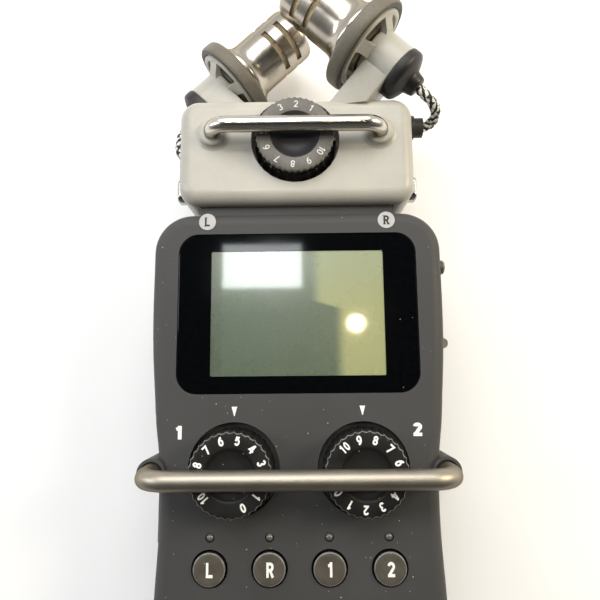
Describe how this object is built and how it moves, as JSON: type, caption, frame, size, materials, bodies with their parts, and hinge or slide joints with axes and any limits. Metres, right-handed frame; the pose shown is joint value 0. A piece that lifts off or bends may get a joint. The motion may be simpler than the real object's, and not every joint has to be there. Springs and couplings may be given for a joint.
{
  "type": "portable field recorder",
  "caption": "Handheld audio recorder with crossed microphones on a detachable capsule, guard bars over its dials, a display window, buttons and two input jacks.",
  "frame": {"origin": "centre of the tripod thread's mouth, in the back plane", "axes": "+X to the recorder's right, +Y towards the microphones, +Z out of the front panel; it lies on its back"},
  "size_m": [0.0678, 0.1981, 0.0421],
  "materials": {
    "body_plastic": "soft-touch charcoal, fine matt grain",
    "capsule_paint": "satin silver-grey paint on moulded plastic",
    "bar_steel": "satin nickel plate",
    "barrel_nickel": "polished nickel plate",
    "button_chrome": "polished plate",
    "knob_black": "semi-matt black, white printed numerals",
    "button_grey": "warm dark grey, bright worn chamfer",
    "switch_metal": "brown-grey satin metal",
    "switch_plastic": "satin dark grey",
    "window_black": "clear gloss over black print",
    "lcd_glass": "grey-green liquid-crystal panel",
    "backlight_white": "white diffuser",
    "board_green": "green solder mask",
    "component_black": "black moulding",
    "jack_black": "black nylon",
    "contact_steel": "nickel plated steel",
    "cell_label": "plain shrink sleeve",
    "card_blue": "plain plastic",
    "insert_brass": "machined brass",
    "lamp_lens": "unlit clear lens",
    "disc_light": "light grey print",
    "tyre_rubber": "semi-matt black rubber",
    "screen_bronze": "fine woven bronze mesh",
    "element_metal": "machined can",
    "lead_braid": "black and white braid"
  },
  "bodies": {
    "main_unit": {"front_shell": "body_plastic", "rear_shell": "body_plastic", "shell_screws": "contact_steel", "tripod_insert": "insert_brass", "speaker": "component_black", "battery_tray": "component_black", "battery_cells": "cell_label", "battery_contacts": "contact_steel", "main_circuit_board": "board_green", "key_circuit_board": "board_green", "track_lamps": "lamp_lens", "display_window": "window_black", "display_panel": "lcd_glass", "display_backlight": "backlight_white", "gain_potentiometers": "component_black", "side_switches": "component_black", "mini_jacks": "jack_black", "usb_port": "contact_steel", "card_socket": "component_black", "memory_card": "card_blue", "input_jacks": "jack_black", "lower_guard_bar": "bar_steel", "channel_discs": "disc_light", "capsule_socket": "component_black"},
    "capsule": {"capsule_front_shell": "capsule_paint", "capsule_rear_shell": "capsule_paint", "capsule_screws": "contact_steel", "capsule_plug": "component_black", "capsule_circuit_board": "board_green", "dial_potentiometer": "component_black", "upper_guard_bar": "bar_steel", "mic_arm_left": "capsule_paint", "mic_arm_right": "capsule_paint", "mic_tyres": "tyre_rubber", "mic_barrels": "barrel_nickel", "mic_screens": "screen_bronze", "mic_elements": "element_metal", "mic_end_caps": "tyre_rubber", "mic_leads": "lead_braid", "lead_glands": "tyre_rubber"},
    "gain_knob_left": {"gain_knob_left": "knob_black"},
    "gain_knob_right": {"gain_knob_right": "knob_black"},
    "track_button_left": {"track_button_left": "button_grey"},
    "track_button_right": {"track_button_right": "button_grey"},
    "track_button_one": {"track_button_one": "button_grey"},
    "track_button_two": {"track_button_two": "button_grey"},
    "rewind_key": {"rewind_key": "button_grey"},
    "stop_key": {"stop_key": "button_grey"},
    "play_key": {"play_key": "button_grey"},
    "forward_key": {"forward_key": "button_grey"},
    "record_key": {"record_key": "button_grey"},
    "menu_button": {"menu_button": "button_grey"},
    "jog_lever": {"jog_lever": "switch_metal"},
    "power_switch": {"power_switch": "switch_metal"},
    "volume_rocker": {"volume_rocker": "switch_plastic"},
    "battery_door": {"battery_door": "body_plastic"},
    "card_door": {"card_door": "body_plastic"},
    "mic_gain_dial": {"mic_gain_dial": "knob_black"},
    "release_button_left": {"release_button_left": "button_chrome"},
    "release_button_right": {"release_button_right": "button_chrome"}
  },
  "joints": [
    {"name": "gain_left_turn", "type": "hinge", "parent": "main_unit", "child": "gain_knob_left", "pos_m": [-0.0134, -0.0138, 0.031], "axis": [0, 0, 1], "range_deg": [-130, 156]},
    {"name": "gain_right_turn", "type": "hinge", "parent": "main_unit", "child": "gain_knob_right", "pos_m": [0.0134, -0.0138, 0.031], "axis": [0, 0, 1], "range_deg": [-41, 239]},
    {"name": "track_button_left_press", "type": "slide", "parent": "main_unit", "child": "track_button_left", "axis": [0, 0, -1], "range_m": [0, 0.0006], "stiffness_N_per_m": 1500},
    {"name": "track_button_right_press", "type": "slide", "parent": "main_unit", "child": "track_button_right", "axis": [0, 0, -1], "range_m": [0, 0.0006], "stiffness_N_per_m": 1500},
    {"name": "track_button_one_press", "type": "slide", "parent": "main_unit", "child": "track_button_one", "axis": [0, 0, -1], "range_m": [0, 0.0006], "stiffness_N_per_m": 1500},
    {"name": "track_button_two_press", "type": "slide", "parent": "main_unit", "child": "track_button_two", "axis": [0, 0, -1], "range_m": [0, 0.0006], "stiffness_N_per_m": 1500},
    {"name": "rewind_key_press", "type": "slide", "parent": "main_unit", "child": "rewind_key", "axis": [0, 0, -1], "range_m": [0, 0.0006], "stiffness_N_per_m": 1500},
    {"name": "stop_key_press", "type": "slide", "parent": "main_unit", "child": "stop_key", "axis": [0, 0, -1], "range_m": [0, 0.0006], "stiffness_N_per_m": 1500},
    {"name": "play_key_press", "type": "slide", "parent": "main_unit", "child": "play_key", "axis": [0, 0, -1], "range_m": [0, 0.0006], "stiffness_N_per_m": 1500},
    {"name": "forward_key_press", "type": "slide", "parent": "main_unit", "child": "forward_key", "axis": [0, 0, -1], "range_m": [0, 0.0006], "stiffness_N_per_m": 1500},
    {"name": "record_key_press", "type": "slide", "parent": "main_unit", "child": "record_key", "axis": [0, 0, -1], "range_m": [0, 0.0006], "stiffness_N_per_m": 1500},
    {"name": "menu_button_press", "type": "slide", "parent": "main_unit", "child": "menu_button", "axis": [-1, 0, 0], "range_m": [0, 0.0005], "stiffness_N_per_m": 1500},
    {"name": "jog_rock", "type": "hinge", "parent": "main_unit", "child": "jog_lever", "pos_m": [0.0276, 0.01205, 0.0236], "axis": [0, 0, 1], "range_deg": [-12, 12], "stiffness_Nm_per_rad": 0.02},
    {"name": "power_slide", "type": "slide", "parent": "main_unit", "child": "power_switch", "axis": [0, 1, 0], "range_m": [-0.0025, 0.0025]},
    {"name": "volume_rock", "type": "hinge", "parent": "main_unit", "child": "volume_rocker", "pos_m": [-0.0262, -0.024, 0.0236], "axis": [0, 0, 1], "range_deg": [-3.5, 3.5], "stiffness_Nm_per_rad": 0.05},
    {"name": "battery_door_swing", "type": "hinge", "parent": "main_unit", "child": "battery_door", "pos_m": [0, -0.0674, 0], "axis": [-1, 0, 0], "range_deg": [0, 95]},
    {"name": "card_door_swing", "type": "hinge", "parent": "main_unit", "child": "card_door", "pos_m": [-0.03045, -0.045, 0.0212], "axis": [0, -1, 0], "range_deg": [0, 85]},
    {"name": "capsule_slide", "type": "slide", "parent": "main_unit", "child": "capsule", "axis": [0, 1, 0], "range_m": [0, 0.022]},
    {"name": "mic_gain_turn", "type": "hinge", "parent": "capsule", "child": "mic_gain_dial", "pos_m": [-0.0002, 0.0579, 0.03], "axis": [0, 0, 1], "range_deg": [-235, 62]},
    {"name": "release_left_press", "type": "slide", "parent": "capsule", "child": "release_button_left", "axis": [1, 0, 0], "range_m": [0, 0.001], "stiffness_N_per_m": 1500},
    {"name": "release_right_press", "type": "slide", "parent": "capsule", "child": "release_button_right", "axis": [-1, 0, 0], "range_m": [0, 0.001], "stiffness_N_per_m": 1500}
  ]
}
